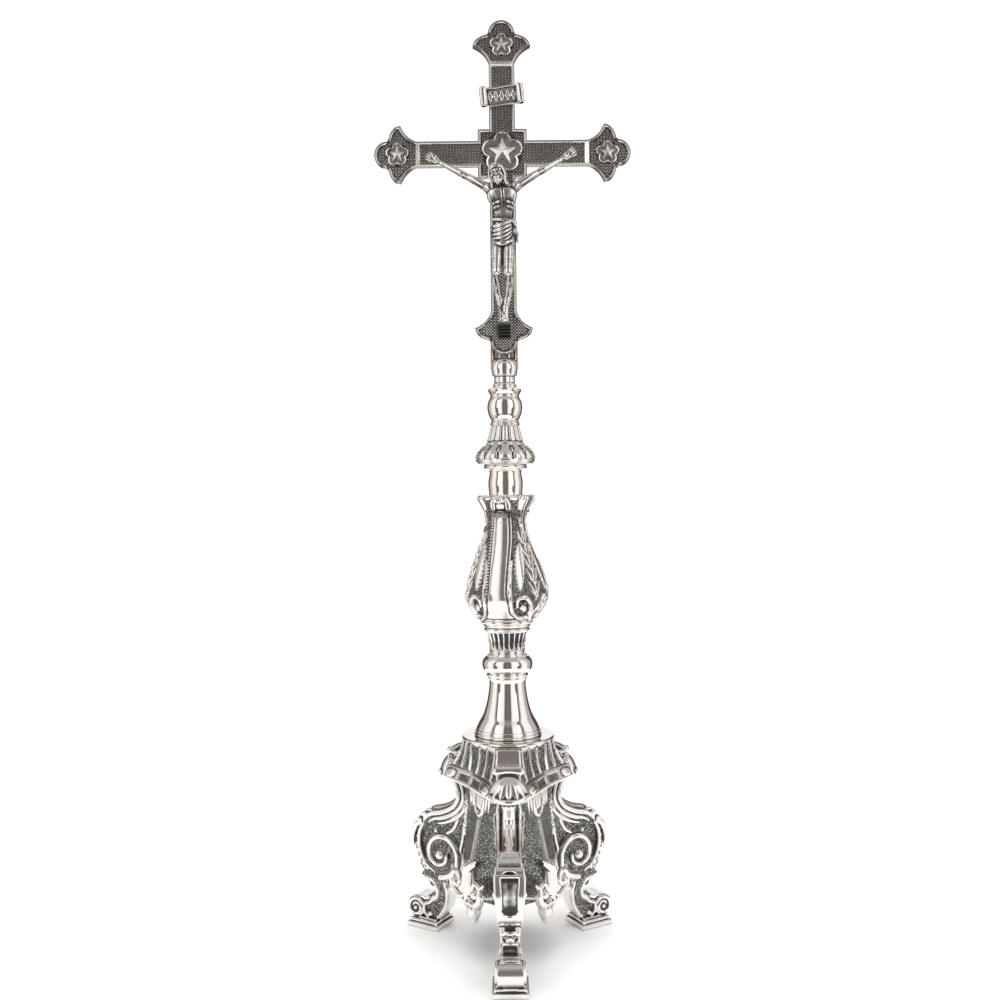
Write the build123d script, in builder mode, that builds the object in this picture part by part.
from build123d import *
import os
from math import cos, radians, sin

os.makedirs("parts", exist_ok=True)

# Altar cross on a three-legged stand. Millimetres, +Z up, front towards -Y.
# The origin lies on the stem's axis, at the surface that the feet stand on.

# ---------------------------------------------------------------- driving dimensions
HEIGHT = 600.0                  # floor to the top of the cross
LEG_ANGLES = (-90, 30, 150)     # front, right and left leg, degrees about +Z
LEG_NAMES = ("leg_front", "leg_right", "leg_left")

ROD_R = 4.0                     # tie rod, M8
BORE_R = 4.3                    # clearance bore of every stem piece
FIT_GAP = 0.02                  # radial gap of a threaded or riveted joint
WALL = 2.6                      # casting wall of the hollow pieces

BODY_FOOT = 35.0                # lower edge of the three-sided body
BODY_TOP = 105.0
SEAT_R = 30.0                   # flat that each leg is screwed to
SEAT_HALF = 6.5
CORNICE_TOP = 134.0
DISC_TOP = 136.7
DISC_R = 30.3
STEM_TOP = 174.6                # top of the trumpet
KNOP_TOP = 191.3
CUP_TOP = 209.0
VASE_TOP = 290.0
SPOOL_TOP = 313.6
SKIRT_TOP = 325.3
BELL_TOP = 339.8
GLOBE_TOP = 356.9
COLLAR_TOP = 363.3
BALL_TOP = 381.0
SLOT_FLOOR = 374.0              # the cross stands on this floor
SOCKET_FLOOR = 366.5

LEG_WIDTH = 12.0
KNEE_WIDTH = 16.0
TOE_WIDTH = 18.0
PAD = (50.0, 74.6, 22.0, 5.0)   # inner radius, outer radius, width, height
SCREW_R = 2.0
SCREW_HEIGHTS = (60.0, 86.0)
SCREW_DEPTH = 6.0

CROSS_Z = 513.6                 # height of the crossing
ARM_LENGTH = HEIGHT - CROSS_Z - 3.2
UP_LENGTH = HEIGHT - CROSS_Z
DOWN_LENGTH = CROSS_Z - 383.5
SHAFT_WIDTH = 16.8
BLOCK_SIZE = 31.8
PLATE_BACK = 1.7                # back of the plate lies this far in front of the axis
PLATE_THICK = 4.0
PLATE_FRONT = PLATE_BACK + PLATE_THICK
RIM_WIDTH = 1.7
RECESS = 0.8
TANG_WIDTH = 18.5
TANG_THICK = 2 * PLATE_BACK
TANG_TOP = 403.0
TONGUE_WIDTH = 7.0
TONGUE_FOOT = 367.0
SLIDE_GAP = 0.15                # gap on each side of the tang in its slot
TITLE_Z = 550.5
TITLE_TILT = 5.0
TITLE_SIZE = (27.0, 12.8, 0.9)
TANG_SCREW_HEIGHTS = (388.5, 397.5)
TANG_SCREW_R = 1.5
TANG_SCREW_REACH = 2.4          # depth of thread in the plate
RIVET_SPOTS = ((-5.4, TITLE_Z - 0.47), (5.4, TITLE_Z + 0.47))
RIVET_R = 0.8
NAIL_R = 0.75
NAIL_SPOTS = ((-44.0, 510.6, 9.7), (41.5, 511.2, 9.7), (0.0, 407.8, 15.3))  # x, z, head at -y


def side_plane(angle):
    """Upright plane through the axis: local x runs outwards at the angle, local y is up."""
    turn = radians(angle)
    return Plane(origin=(0, 0, 0), x_dir=(cos(turn), sin(turn), 0), z_dir=(sin(turn), -cos(turn), 0))


def outward_plane(angle, radius, height):
    """Upright plane at a radius, facing outwards at the angle."""
    turn = radians(angle)
    spot = (radius * cos(turn), radius * sin(turn), height)
    return Plane(origin=spot, x_dir=(-sin(turn), cos(turn), 0), z_dir=(cos(turn), sin(turn), 0))


def three_cornered(corner_r, corner_half, face_r):
    """Plan points of a three-cornered section: a flat at each leg, one point at each face."""
    points = []
    for angle in LEG_ANGLES:
        leg, face = radians(angle), radians(angle + 60)
        for across in (-corner_half, corner_half):
            points.append((corner_r * cos(leg) - across * sin(leg), corner_r * sin(leg) + across * cos(leg)))
        points.append((face_r * cos(face), face_r * sin(face)))
    return points


def section(height, corner_r, corner_half, face_r):
    """Three-cornered face at a height."""
    with BuildSketch(Plane.XY.offset(height)) as plan:
        with BuildLine():
            Polyline(*three_cornered(corner_r, corner_half, face_r), close=True)
        make_face()
    return plan.sketch.face()


def bored(height, depth):
    """Cut the tie rod's clearance bore downwards from a height."""
    with Locations((0, 0, height)):
        Hole(BORE_R, depth)


# ---------------------------------------------------------------- base: body, cornice, disc
# The body and the cornice are three-cornered: each corner is a flat that carries a leg, and
# each face is folded along a keel. Both are hollow, with a roof that the tie rod goes through.
# Each pair is a height and the keel's distance from the axis.
FACE_RADII = ((BODY_FOOT, 30.0), (57.0, 28.5), (85.0, 21.9), (BODY_TOP, 20.5))

SEAT_INSET = 1.5                # the hollow is this much narrower at each seat
KEEL_WALL = 3.0

body_sections = [section(level, SEAT_R, SEAT_HALF, face_r) for level, face_r in FACE_RADII]
hollow_sections = [
    section(min(level, BODY_TOP - WALL), SEAT_R - WALL, SEAT_HALF - SEAT_INSET, face_r - KEEL_WALL)
    for level, face_r in FACE_RADII
]

with BuildPart() as base_body:
    loft(body_sections, ruled=True)
    loft(hollow_sections, ruled=True, mode=Mode.SUBTRACT)
    bored(BODY_TOP, WALL)
    for leg_angle in LEG_ANGLES:
        for screw_height in SCREW_HEIGHTS:
            with BuildSketch(outward_plane(leg_angle, SEAT_R - WALL, screw_height)):
                Circle(SCREW_R + FIT_GAP)
            extrude(amount=WALL, mode=Mode.SUBTRACT)

with BuildPart() as body_envelope:
    loft(body_sections, ruled=True)

CORNICE_STEPS = (
    # height, corner radius, half width of the corner, face radius
    (BODY_TOP, 49.0, 10.5, 29.5),
    (107.0, 52.5, 12.5, 31.0),
    (112.5, 52.5, 12.5, 31.0),
    (115.0, 41.0, 11.5, 29.0),
    (121.0, 33.0, 10.5, 26.5),
    (128.0, 28.5, 9.5, 25.5),
    (CORNICE_TOP, 28.5, 9.5, 27.5),
)
CAVITY_CORNER = 6.0             # metal left at each corner and each face of the cornice
CAVITY_FACE = 4.0
LEAF_HALF = 9.0
CORNER_LEAF = ((41.0, 113.6), (52.3, 112.4), (52.3, 115.0), (47.5, 118.0), (41.0, 122.0), (38.6, 120.5))

with BuildPart() as base_cornice:
    loft([section(*step) for step in CORNICE_STEPS], ruled=True)
    for leg_angle in LEG_ANGLES:
        with BuildSketch(side_plane(leg_angle)):
            with BuildLine():
                Polyline(*CORNER_LEAF, close=True)
            make_face()
        extrude(amount=LEAF_HALF, both=True)
    cavity = [
        section(level, corner - CAVITY_CORNER, half - WALL, face_r - CAVITY_FACE)
        for level, corner, half, face_r in CORNICE_STEPS[1:-1]
    ]
    loft(cavity, ruled=True, mode=Mode.SUBTRACT)
    bored(CORNICE_TOP, CORNICE_TOP - BODY_TOP)

with BuildPart() as base_disc:
    with BuildSketch(Plane.XZ):
        with BuildLine():
            under = Polyline((BORE_R, CORNICE_TOP), (DISC_R - 4.0, CORNICE_TOP), (DISC_R, CORNICE_TOP + 1.2))
            lip = RadiusArc(under @ 1, (DISC_R - 1.0, DISC_TOP), -1.2)
            Polyline(lip @ 1, (BORE_R, DISC_TOP), (BORE_R, CORNICE_TOP))
        make_face()
    revolve(axis=Axis.Z)

# ---------------------------------------------------------------- base: legs and pendants
SHOULDER = ((38.6, 87.0), (43.4, 83.0), (49.3, 80.5), (56.6, 79.3), (62.6, 75.2), (69.4, 68.0), (72.8, 58.0),
            (71.4, 50.0), (67.8, 44.5), (63.6, 38.8))
CALF = ((62.4, 31.8), (56.6, 29.6), (54.6, 25.0), (56.0, 20.4), (60.5, 17.8))
INNER_CALF = ((50.0, 5.0), (49.4, 9.0), (45.2, 16.0), (44.0, 25.0), (47.0, 33.5))
VOLUTE = (50.0, 49.0, 14.6)     # radial place, height and radius of the knee's scroll
TOE = (69.6, 12.6, 6.4)
TOE_TIP = (67.4, 20.6)
SPUR = (66.0, 33.4)


def make_leg(angle):
    """One cast scroll leg with its foot pad, standing in the upright plane at the angle."""
    plane = side_plane(angle)
    with BuildPart() as leg:
        with BuildSketch(plane):
            with BuildLine():
                neck = Polyline((SEAT_R, 40.0), (SEAT_R, BODY_TOP), (44.6, BODY_TOP))
                throat = Spline(neck @ 1, (38.2, 98.5), (36.4, 92.0), SHOULDER[0])
                shoulder = Spline(throat @ 1, *SHOULDER[1:])
                spur = Polyline(shoulder @ 1, SPUR, CALF[0])
                calf = Spline(spur @ 1, *CALF[1:])
                toe = Polyline(calf @ 1, TOE_TIP, (72.0, 16.0), (72.0, 6.8), (73.0, PAD[3]), (PAD[0], PAD[3]))
                inner = Spline(toe @ 1, *INNER_CALF[1:])
                Polyline(inner @ 1, (38.5, 36.5), (SEAT_R, 40.0))
            make_face()
        extrude(amount=LEG_WIDTH / 2, both=True)
        with BuildSketch(plane):
            with Locations(VOLUTE[:2]):
                Circle(VOLUTE[2])
        extrude(amount=KNEE_WIDTH / 2, both=True)
        with BuildSketch(plane):
            with Locations(TOE[:2]):
                Circle(TOE[2])
        extrude(amount=TOE_WIDTH / 2, both=True)
        with BuildSketch(plane):
            with Locations(((PAD[0] + PAD[1]) / 2, PAD[3] / 2)):
                RectangleRounded(PAD[1] - PAD[0], PAD[3], 1.2)
        extrude(amount=PAD[2] / 2, both=True)
        for screw_height in SCREW_HEIGHTS:
            with BuildSketch(outward_plane(angle, SEAT_R, screw_height)):
                Circle(SCREW_R + FIT_GAP)
            extrude(amount=SCREW_DEPTH, mode=Mode.SUBTRACT)
    return leg


legs = [make_leg(leg_angle) for leg_angle in LEG_ANGLES]

PENDANT_R = 26.4                # distance of each pendant from the stem's axis
PENDANT = ((0.0, 17.6), (1.6, 18.2), (3.2, 22.5), (4.6, 27.5), (7.2, 32.0), (7.6, 34.5), (5.4, 37.0),
           (6.4, 42.0), (8.6, 46.5), (7.6, 52.0), (4.0, 57.0), (0.0, 60.5))

with BuildPart() as apron_pendants:
    for leg_angle in LEG_ANGLES:
        face_angle = radians(leg_angle + 60)
        spot = (PENDANT_R * cos(face_angle), PENDANT_R * sin(face_angle), 0)
        pendant_plane = Plane(origin=spot, x_dir=(1, 0, 0), z_dir=(0, -1, 0))
        with BuildSketch(pendant_plane):
            with BuildLine():
                outline = Polyline(*PENDANT)
                Line(outline @ 1, outline @ 0)
            make_face()
        revolve(axis=Axis(spot, (0, 0, 1)))
    add(body_envelope.part, mode=Mode.SUBTRACT)

# ---------------------------------------------------------------- hidden fasteners of the base
BRIDGE_TOP = BODY_TOP - WALL
BRIDGE_THICK = 3.0
BRIDGE_CORNER = SEAT_R - WALL - 0.6
BRIDGE_HALF = 4.3
BRIDGE_FACE = 17.0
WASHER_R = 9.0
NUT_REACH = 6.5                 # axis to flat
WASHER_THICK = 1.2
NUT_THICK = 6.5
ROD_FOOT = 88.0
ROD_TOP = 360.0
ROD_CHAMFER = 0.8
SCREW_HEAD = (3.5, 2.4)         # radius, height
SCREW_END_GAP = 0.5
SPIGOT_FOOT = 345.0
SPIGOT_R = 6.0

with BuildPart() as bridge_plate:
    bridge_plan = section(BRIDGE_TOP - BRIDGE_THICK, BRIDGE_CORNER, BRIDGE_HALF, BRIDGE_FACE)
    extrude(bridge_plan, amount=BRIDGE_THICK)
    bored(BRIDGE_TOP, BRIDGE_THICK)

with BuildPart() as tie_rod_washer:
    with BuildSketch(Plane.XY.offset(BRIDGE_TOP - BRIDGE_THICK)):
        Circle(WASHER_R)
        Circle(BORE_R, mode=Mode.SUBTRACT)
    extrude(amount=-WASHER_THICK)

with BuildPart() as tie_rod_nut:
    with BuildSketch(Plane.XY.offset(BRIDGE_TOP - BRIDGE_THICK - WASHER_THICK)):
        RegularPolygon(NUT_REACH, 6, major_radius=False)
        Circle(ROD_R + FIT_GAP, mode=Mode.SUBTRACT)
    extrude(amount=-NUT_THICK)

with BuildPart() as tie_rod:
    with BuildSketch(Plane.XY.offset(ROD_FOOT)):
        Circle(ROD_R)
    extrude(amount=ROD_TOP - ROD_FOOT)
    chamfer(tie_rod.edges().filter_by(GeomType.CIRCLE), length=ROD_CHAMFER)

with BuildPart() as leg_screws:
    for leg_angle in LEG_ANGLES:
        for screw_height in SCREW_HEIGHTS:
            with BuildSketch(outward_plane(leg_angle, SEAT_R - WALL, screw_height)):
                Circle(SCREW_R)
            extrude(amount=WALL + SCREW_DEPTH - SCREW_END_GAP)
            with BuildSketch(outward_plane(leg_angle, SEAT_R - WALL, screw_height)):
                Circle(SCREW_HEAD[0])
            extrude(amount=-SCREW_HEAD[1])

# ---------------------------------------------------------------- stem: turned and cast pieces
TRUMPET = ((18.9, 144.9), (16.1, 149.9), (13.9, 156.8), (12.0, 168.0), (11.85, STEM_TOP))

with BuildPart() as trumpet_stem:
    with BuildSketch(Plane.XZ):
        with BuildLine():
            ring = Polyline((BORE_R, DISC_TOP), (21.5, DISC_TOP), (21.5, 138.6), (21.9, 139.2), (21.1, 141.1))
            flare = Spline(ring @ 1, *TRUMPET)
            Polyline(flare @ 1, (BORE_R, STEM_TOP), (BORE_R, DISC_TOP))
        make_face()
    revolve(axis=Axis.Z)

with BuildPart() as lower_knop:
    with BuildSketch(Plane.XZ):
        with BuildLine():
            start = Line((BORE_R, STEM_TOP), (13.0, STEM_TOP))
            belly = ThreePointArc(start @ 1, (16.6, 182.0), (13.0, 189.2))
            Polyline(belly @ 1, (11.5, 189.6), (11.5, KNOP_TOP), (BORE_R, KNOP_TOP), (BORE_R, STEM_TOP))
        make_face()
    revolve(axis=Axis.Z)

with BuildPart() as fluted_cup:
    with BuildSketch(Plane.XZ):
        with BuildLine():
            start = Line((BORE_R, KNOP_TOP), (11.6, KNOP_TOP))
            wall = Spline(start @ 1, (12.4, 198.8), (14.7, 205.2))
            Polyline(wall @ 1, (14.2, 206.0), (14.2, CUP_TOP), (BORE_R, CUP_TOP), (BORE_R, KNOP_TOP))
        make_face()
    revolve(axis=Axis.Z)

VASE_OUTER = ((16.4, CUP_TOP), (19.1, 214.3), (23.5, 221.3), (25.5, 229.8), (23.9, 238.4), (21.0, 247.6),
              (16.6, 258.1), (13.4, 268.1), (12.6, 277.3), (14.6, 284.5), (17.6, VASE_TOP))
VASE_INNER = ((13.0, 212.5), (16.5, 215.5), (20.8, 222.0), (22.8, 229.8), (21.2, 238.4), (18.3, 247.6),
              (13.9, 258.1), (10.8, 268.1), (9.9, 277.3), (9.9, 284.5))
with BuildPart() as vase:
    with BuildSketch(Plane.XZ):
        with BuildLine():
            foot = Line((BORE_R, CUP_TOP), VASE_OUTER[0])
            outer = Spline(foot @ 1, *VASE_OUTER[1:])
            Polyline(outer @ 1, (BORE_R, VASE_TOP), (BORE_R, CUP_TOP))
        make_face()
        with BuildLine():
            inner = Spline(*VASE_INNER)
            Polyline(inner @ 1, (BORE_R + 1.5, VASE_INNER[-1][1]), (BORE_R + 1.5, 212.5), inner @ 0)
        make_face(mode=Mode.SUBTRACT)
    revolve(axis=Axis.Z)

with BuildPart() as spool_neck:
    with BuildSketch(Plane.XZ):
        with BuildLine():
            start = Line((BORE_R, VASE_TOP), (12.4, VASE_TOP))
            cove = Spline(start @ 1, (11.4, 296.0), (11.4, 304.0), (13.4, 309.6))
            ring = Polyline(cove @ 1, (15.0, 309.9), (15.0, 312.5), (18.6, 313.0), (18.6, SPOOL_TOP))
            Polyline(ring @ 1, (BORE_R, SPOOL_TOP), (BORE_R, VASE_TOP))
        make_face()
    revolve(axis=Axis.Z)

with BuildPart() as petal_skirt:
    with BuildSketch(Plane.XZ):
        with BuildLine():
            start = Polyline((BORE_R, SPOOL_TOP), (19.4, SPOOL_TOP), (19.4, 315.2))
            dome = ThreePointArc(start @ 1, (17.4, 320.6), (12.9, SKIRT_TOP))
            Polyline(dome @ 1, (BORE_R, SKIRT_TOP), (BORE_R, SPOOL_TOP))
        make_face()
    revolve(axis=Axis.Z)

with BuildPart() as fluted_bell:
    with BuildSketch(Plane.XZ):
        with BuildLine():
            start = Line((BORE_R, SKIRT_TOP), (12.6, SKIRT_TOP))
            flare = Spline(start @ 1, (10.4, 330.4), (9.1, 337.7))
            Polyline(flare @ 1, (9.6, 338.1), (9.6, BELL_TOP), (BORE_R, BELL_TOP), (BORE_R, SKIRT_TOP))
        make_face()
    revolve(axis=Axis.Z)

SOCKET_R = SPIGOT_R + BORE_R - ROD_R    # bore that the ferrule's spigot stands in
SOCKET_FOOT = SPIGOT_FOOT - 0.3

with BuildPart() as globe:
    with BuildSketch(Plane.XZ):
        with BuildLine():
            start = Line((BORE_R, BELL_TOP), (8.8, BELL_TOP))
            belly = Spline(start @ 1, (10.9, 345.0), (11.6, 349.6), (11.0, 353.8), (9.7, GLOBE_TOP))
            Polyline(belly @ 1, (SOCKET_R, GLOBE_TOP), (SOCKET_R, SOCKET_FOOT), (BORE_R, SOCKET_FOOT),
                     start @ 0)
        make_face()
    revolve(axis=Axis.Z)

with BuildPart() as collar_ring:
    with BuildSketch(Plane.XZ):
        with BuildLine():
            start = Line((SOCKET_R, GLOBE_TOP), (9.4, GLOBE_TOP))
            rim = Spline(start @ 1, (9.8, 358.2), (11.0, 360.0), (11.0, 361.2))
            Polyline(rim @ 1, (10.2, 361.6), (8.4, 362.0), (7.6, COLLAR_TOP), (SOCKET_R, COLLAR_TOP),
                     start @ 0)
        make_face()
    revolve(axis=Axis.Z)

THREAD_R = ROD_R + FIT_GAP
THREAD_END = ROD_TOP + 0.6
SLOT_LENGTH = 30.0              # longer than the ball is wide: the slot is open at both ends

with BuildPart() as cross_ferrule:
    with BuildSketch(Plane.XZ):
        with BuildLine():
            neck = Polyline((THREAD_R, SPIGOT_FOOT), (SPIGOT_R, SPIGOT_FOOT), (SPIGOT_R, COLLAR_TOP),
                            (7.6, COLLAR_TOP), (6.8, 364.4), (6.8, 370.0), (7.9, 370.5))
            ball = Spline(neck @ 1, (8.75, 375.0), (7.4, 379.3), (4.0, BALL_TOP))
            Polyline(ball @ 1, (0, BALL_TOP), (0, THREAD_END), (THREAD_R, THREAD_END), neck @ 0)
        make_face()
    revolve(axis=Axis.Z)
    with BuildSketch(Plane.XY.offset(SLOT_FLOOR)):
        Rectangle(SLOT_LENGTH, TANG_THICK + 2 * SLIDE_GAP)
    extrude(amount=BALL_TOP - SLOT_FLOOR, mode=Mode.SUBTRACT)
    with BuildSketch(Plane.XY.offset(SOCKET_FLOOR)):
        Rectangle(TONGUE_WIDTH + 2 * SLIDE_GAP, TANG_THICK + 2 * SLIDE_GAP)
    extrude(amount=SLOT_FLOOR - SOCKET_FLOOR, mode=Mode.SUBTRACT)

# ---------------------------------------------------------------- cross plate and its tang
HALF = SHAFT_WIDTH / 2
STAR_WAIST = 0.44               # inner corners of a star, as a share of its radius
STAR_RISE = 0.7                 # a star stands this proud of the rims
FILLET_INSET = 28.4             # raised bar across an arm, from the arm's end
FILLET = (SHAFT_WIDTH - 1.0, 2.6)
THROUGH = 30.0                  # longer than anything that a nail's hole goes through
STAR_SPOTS = (
    # x, z, outer radius
    (0.0, CROSS_Z + 0.9, 10.4),
    (0.0, CROSS_Z + UP_LENGTH - 16.0, 5.7),
    (ARM_LENGTH - 15.0, CROSS_Z, 5.7),
    (15.0 - ARM_LENGTH, CROSS_Z, 5.7),
)


def arm_outline(length):
    """Sketch of one arm that points along local +Y from the crossing: shaft, then trefoil end."""
    with BuildSketch() as arm:
        with BuildLine():
            right = Line((HALF, 0), (HALF, length - 27.5))
            flare = ThreePointArc(right @ 1, (12.4, length - 21.2), (18.7, length - 17.2))
            lobe = ThreePointArc(flare @ 1, (14.4, length - 11.0), (8.7, length - 8.8))
            tip = ThreePointArc(lobe @ 1, (0, length), (-8.7, length - 8.8))
            far_lobe = ThreePointArc(tip @ 1, (-14.4, length - 11.0), (-18.7, length - 17.2))
            left = ThreePointArc(far_lobe @ 1, (-12.4, length - 21.2), (-HALF, length - 27.5))
            Polyline(left @ 1, (-HALF, 0), right @ 0)
        make_face()
    return arm.sketch


def star_corner(radius, step):
    """Corner of a five-pointed star: outer and inner corners take turns, 36 degrees apart."""
    reach = radius if step % 2 == 0 else radius * STAR_WAIST
    turn = radians(90 + 36 * step)
    return (reach * cos(turn), reach * sin(turn))


def star(radius):
    """Five-pointed star sketch, one point up."""
    with BuildSketch() as shape:
        with BuildLine():
            spokes = [star_corner(radius, step) for step in range(10)]
            Polyline(*spokes, close=True)
        make_face()
    return shape.sketch


with BuildSketch() as cross_outline:
    add(arm_outline(UP_LENGTH))
    add(arm_outline(ARM_LENGTH), rotation=90)
    add(arm_outline(ARM_LENGTH), rotation=-90)
    add(arm_outline(DOWN_LENGTH), rotation=180)
    Rectangle(BLOCK_SIZE, BLOCK_SIZE)

with BuildSketch() as cross_ground:
    add(cross_outline.sketch)
    offset(amount=-RIM_WIDTH, kind=Kind.INTERSECTION, mode=Mode.REPLACE)

crossing = Plane(origin=(0, -PLATE_BACK, CROSS_Z), x_dir=(1, 0, 0), z_dir=(0, -1, 0))

with BuildPart() as cross_plate:
    with BuildSketch(crossing):
        add(cross_outline.sketch)
    extrude(amount=PLATE_THICK)
    with BuildSketch(crossing.offset(PLATE_THICK)):
        add(cross_ground.sketch)
    extrude(amount=-RECESS, mode=Mode.SUBTRACT)
    with BuildSketch(crossing.offset(PLATE_THICK - RECESS)):
        with Locations((0, UP_LENGTH - FILLET_INSET)):
            Rectangle(*FILLET)
        with Locations((ARM_LENGTH - FILLET_INSET, 0), (FILLET_INSET - ARM_LENGTH, 0)):
            Rectangle(FILLET[1], FILLET[0])
    extrude(amount=RECESS)
    for star_x, star_z, star_r in STAR_SPOTS:
        with BuildSketch(crossing.offset(PLATE_THICK - RECESS)):
            with Locations((star_x, star_z - CROSS_Z)):
                add(star(star_r))
        extrude(amount=RECESS + STAR_RISE)
    for nail_x, nail_z, nail_head in NAIL_SPOTS:
        with BuildSketch(crossing):
            with Locations((nail_x, nail_z - CROSS_Z)):
                Circle(NAIL_R + FIT_GAP)
        extrude(amount=PLATE_THICK, mode=Mode.SUBTRACT)
    for rivet_x, rivet_z in RIVET_SPOTS:
        with BuildSketch(crossing):
            with Locations((rivet_x, rivet_z - CROSS_Z)):
                Circle(RIVET_R + FIT_GAP)
        extrude(amount=PLATE_THICK, mode=Mode.SUBTRACT)
    for screw_z in TANG_SCREW_HEIGHTS:
        with BuildSketch(crossing):
            with Locations((0, screw_z - CROSS_Z)):
                Circle(TANG_SCREW_R + FIT_GAP)
        extrude(amount=TANG_SCREW_REACH, mode=Mode.SUBTRACT)


# ---------------------------------------------------------------- corpus: the cast figure
JOINT_SWELL = 1.06              # a joint stands a little proud of the limb that ends in it


def limb(start, end, start_r, end_r):
    """Tapered limb between two joints, with a round joint at its far end."""
    first, last = Vector(*start), Vector(*end)
    heading = last - first
    with Locations(Plane(origin=(first + last) / 2, z_dir=heading)):
        Cone(start_r, end_r, heading.length)
    with Locations(last):
        Sphere(end_r * JOINT_SWELL)


def oval(centre, half_x, half_y):
    """Level oval face that a trunk section is lofted through."""
    with BuildSketch(Plane(origin=centre)) as level:
        Ellipse(half_x, half_y)
    return level.sketch.face()


TRUNK = (
    # centre, half width, half depth
    ((-0.8, -11.0, 491.6), 8.6, 3.9),
    ((-0.4, -11.4, 484.5), 8.7, 5.2),
    ((0.9, -11.2, 473.0), 6.3, 4.2),
    ((0.4, -11.4, 463.0), 7.0, 5.0),
    ((0.0, -11.8, 453.0), 6.6, 4.9),
)
CLOTH = (
    ((0.3, -11.6, 468.6), 7.2, 5.5),
    ((0.2, -11.8, 460.0), 8.4, 6.0),
    ((-0.2, -12.6, 451.8), 7.4, 5.6),
)
SHOULDERS = ((-9.0, -10.9, 490.8), (8.2, -10.9, 491.4))
ELBOWS = ((-23.8, -9.6, 498.8), (24.3, -9.6, 501.1))
WRISTS = ((-39.1, -7.8, 507.3), (37.2, -7.8, 508.6))
FINGERS = ((-47.2, -7.5, 512.0), (47.0, -7.5, 514.0))
HIPS = ((-3.4, -12.0, 455.0), (3.4, -12.0, 455.0))
KNEES = ((-3.2, -15.8, 434.5), (2.0, -16.6, 433.6))
ANKLES = ((-0.9, -10.2, 411.7), (1.2, -12.6, 412.0))
TOES = ((-0.3, -10.6, 404.2), (0.3, -13.6, 404.4))

with BuildPart() as corpus:
    loft([oval(*level) for level in TRUNK], ruled=True)
    loft([oval(*level) for level in CLOTH], ruled=True)
    with Locations((6.6, -13.0, 465.5)):
        Sphere(2.8)
    limb((6.8, -13.0, 464.5), (7.8, -12.8, 453.5), 2.2, 1.8)
    limb((-1.6, -11.8, 490.5), (-4.6, -13.4, 496.0), 2.7, 2.6)
    with Locations((-5.4, -13.6, 498.6)):
        Sphere(5.4)
    with Locations((-3.9, -14.8, 494.2)):
        Sphere(3.6)
    for side in (0, 1):
        with Locations(SHOULDERS[side]):
            Sphere(3.2)
        limb(SHOULDERS[side], ELBOWS[side], 3.0, 2.3)
        limb(ELBOWS[side], WRISTS[side], 2.3, 1.5)
        limb(WRISTS[side], FINGERS[side], 1.7, 1.5)
        limb(HIPS[side], KNEES[side], 4.2, 3.1)
        limb(KNEES[side], ANKLES[side], 3.1, 1.8)
        limb(ANKLES[side], TOES[side], 1.9, 1.8)
    for nail_x, nail_z, nail_head in NAIL_SPOTS:
        with BuildSketch(crossing.offset(-1.0)):
            with Locations((nail_x, nail_z - CROSS_Z)):
                Circle(NAIL_R + FIT_GAP)
        extrude(amount=THROUGH, mode=Mode.SUBTRACT)

BLOCK_WIDTH = 8.4
BLOCK_BACK = RECESS - PLATE_FRONT
BLOCK_SIDE = ((BLOCK_BACK, 393.0), (BLOCK_BACK, 401.6), (-14.6, 401.6), (-14.0, 399.4), (-8.0, 393.4))

with BuildPart() as foot_block:
    with BuildSketch(Plane.YZ):
        with BuildLine():
            Polyline(*BLOCK_SIDE, close=True)
        make_face()
    extrude(amount=BLOCK_WIDTH / 2, both=True)

# ---------------------------------------------------------------- fasteners of the cross
NAIL_HEAD = (1.5, 0.9, 30)      # radius, height, taper
NUT_FLAT = 1.7
NUT_DEPTH = 1.6

with BuildPart() as corpus_nails:
    for nail_x, nail_z, nail_head in NAIL_SPOTS:
        with BuildSketch(Plane.XZ.offset(PLATE_BACK - NUT_DEPTH)):
            with Locations((nail_x, nail_z)):
                Circle(NAIL_R)
        extrude(amount=nail_head - PLATE_BACK + NUT_DEPTH)
        with BuildSketch(Plane.XZ.offset(nail_head)):
            with Locations((nail_x, nail_z)):
                Circle(NAIL_HEAD[0])
        extrude(amount=NAIL_HEAD[1], taper=NAIL_HEAD[2])

with BuildPart() as corpus_nuts:
    for nail_x, nail_z, nail_head in NAIL_SPOTS:
        with BuildSketch(Plane.XZ.offset(PLATE_BACK)):
            with Locations((nail_x, nail_z)):
                RegularPolygon(NUT_FLAT, 6, major_radius=False)
                Circle(NAIL_R + FIT_GAP, mode=Mode.SUBTRACT)
        extrude(amount=-NUT_DEPTH)

RAIL_WIDTH = 2.0
CHANNEL_DEPTH = 0.9
TANG_SCREW_HEAD = (2.7, 1.3, 20)    # radius, height, taper
TANG_HALF = TANG_WIDTH / 2
TONGUE_HALF = TONGUE_WIDTH / 2

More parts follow.
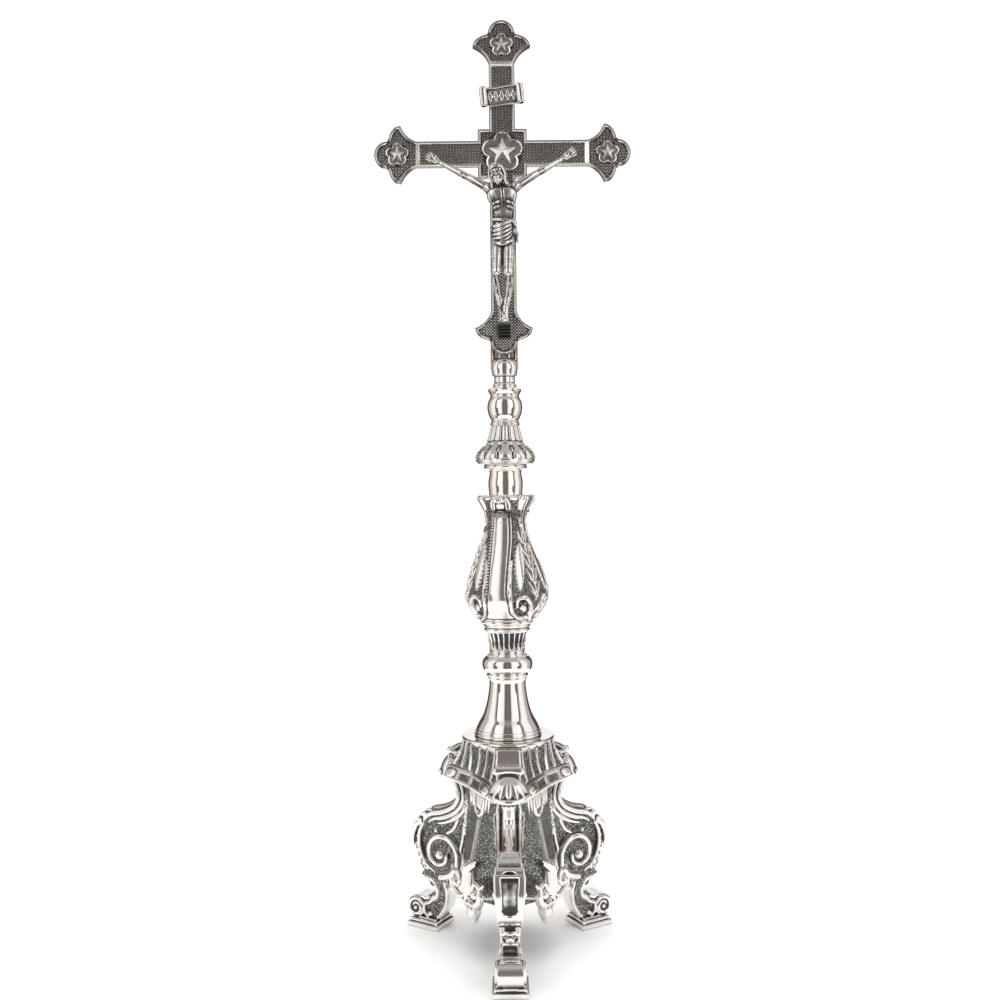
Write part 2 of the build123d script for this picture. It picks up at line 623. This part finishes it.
with BuildPart() as tang_bar:
    with BuildSketch(Plane.XZ.offset(-PLATE_BACK)):
        with BuildLine():
            Polyline((-TANG_HALF, TANG_TOP), (-TANG_HALF, SLOT_FLOOR), (-TONGUE_HALF, SLOT_FLOOR),
                     (-TONGUE_HALF, TONGUE_FOOT), (TONGUE_HALF, TONGUE_FOOT), (TONGUE_HALF, SLOT_FLOOR),
                     (TANG_HALF, SLOT_FLOOR), (TANG_HALF, TANG_TOP), close=True)
        make_face()
    extrude(amount=TANG_THICK)
    with BuildSketch(Plane.XZ.offset(PLATE_BACK)):
        with Locations((0, (BALL_TOP + TANG_TOP) / 2)):
            Rectangle(TANG_WIDTH - 2 * RAIL_WIDTH, TANG_TOP - BALL_TOP)
    extrude(amount=-CHANNEL_DEPTH, mode=Mode.SUBTRACT)
    for screw_z in TANG_SCREW_HEIGHTS:
        with BuildSketch(Plane.XZ.offset(-PLATE_BACK)):
            with Locations((0, screw_z)):
                Circle(TANG_SCREW_R + FIT_GAP)
        extrude(amount=TANG_THICK, mode=Mode.SUBTRACT)

with BuildPart() as tang_screws:
    for screw_z in TANG_SCREW_HEIGHTS:
        with BuildSketch(Plane.XZ.offset(-PLATE_BACK)):
            with Locations((0, screw_z)):
                Circle(TANG_SCREW_R)
        extrude(amount=TANG_THICK + TANG_SCREW_REACH)
        with BuildSketch(Plane.XZ.offset(-PLATE_BACK)):
            with Locations((0, screw_z)):
                Circle(TANG_SCREW_HEAD[0])
        extrude(amount=-TANG_SCREW_HEAD[1], taper=TANG_SCREW_HEAD[2])

CURL_R = 1.3
RIVET_HEAD = (1.3, 0.5, 30)     # radius, height, taper
title_across = (cos(radians(TITLE_TILT)), 0, sin(radians(TITLE_TILT)))
title_plane = Plane(origin=(0, -PLATE_FRONT, TITLE_Z), x_dir=title_across, z_dir=(0, -1, 0))
half_length, half_height, half_thick = (size / 2 for size in TITLE_SIZE)

with BuildPart() as title_scroll:
    with BuildSketch(title_plane):
        Rectangle(TITLE_SIZE[0], TITLE_SIZE[1])
    extrude(amount=TITLE_SIZE[2])
    for end in (-1, 1):
        curl_foot = title_plane.from_local_coords((end * half_length, -half_height, half_thick))
        with BuildSketch(Plane(origin=curl_foot, z_dir=title_plane.y_dir)):
            Circle(CURL_R)
        extrude(amount=TITLE_SIZE[1])
    for rivet_x, rivet_z in RIVET_SPOTS:
        with BuildSketch(Plane.XZ.offset(PLATE_FRONT)):
            with Locations((rivet_x, rivet_z)):
                Circle(RIVET_R + FIT_GAP)
        extrude(amount=TITLE_SIZE[2], mode=Mode.SUBTRACT)

with BuildPart() as title_rivets:
    for rivet_x, rivet_z in RIVET_SPOTS:
        with BuildSketch(Plane.XZ.offset(PLATE_BACK)):
            with Locations((rivet_x, rivet_z)):
                Circle(RIVET_R)
        extrude(amount=PLATE_THICK + TITLE_SIZE[2])
        with BuildSketch(Plane.XZ.offset(PLATE_FRONT + TITLE_SIZE[2])):
            with Locations((rivet_x, rivet_z)):
                Circle(RIVET_HEAD[0])
        extrude(amount=RIVET_HEAD[1], taper=RIVET_HEAD[2])

# ---------------------------------------------------------------- write every piece
PIECES = {
    "base_body": base_body,
    "base_cornice": base_cornice,
    "base_disc": base_disc,
    "apron_pendants": apron_pendants,
    "bridge_plate": bridge_plate,
    "tie_rod_washer": tie_rod_washer,
    "tie_rod_nut": tie_rod_nut,
    "tie_rod": tie_rod,
    "leg_screws": leg_screws,
    "trumpet_stem": trumpet_stem,
    "lower_knop": lower_knop,
    "fluted_cup": fluted_cup,
    "vase": vase,
    "spool_neck": spool_neck,
    "petal_skirt": petal_skirt,
    "fluted_bell": fluted_bell,
    "globe": globe,
    "collar_ring": collar_ring,
    "cross_ferrule": cross_ferrule,
    "cross_plate": cross_plate,
    "tang_bar": tang_bar,
    "tang_screws": tang_screws,
    "title_scroll": title_scroll,
    "title_rivets": title_rivets,
    "corpus": corpus,
    "foot_block": foot_block,
    "corpus_nails": corpus_nails,
    "corpus_nuts": corpus_nuts,
}
PIECES.update(zip(LEG_NAMES, legs))

for piece_name, piece in PIECES.items():
    piece.part.label = piece_name
    export_step(piece.part, f"parts/{piece_name}.step")
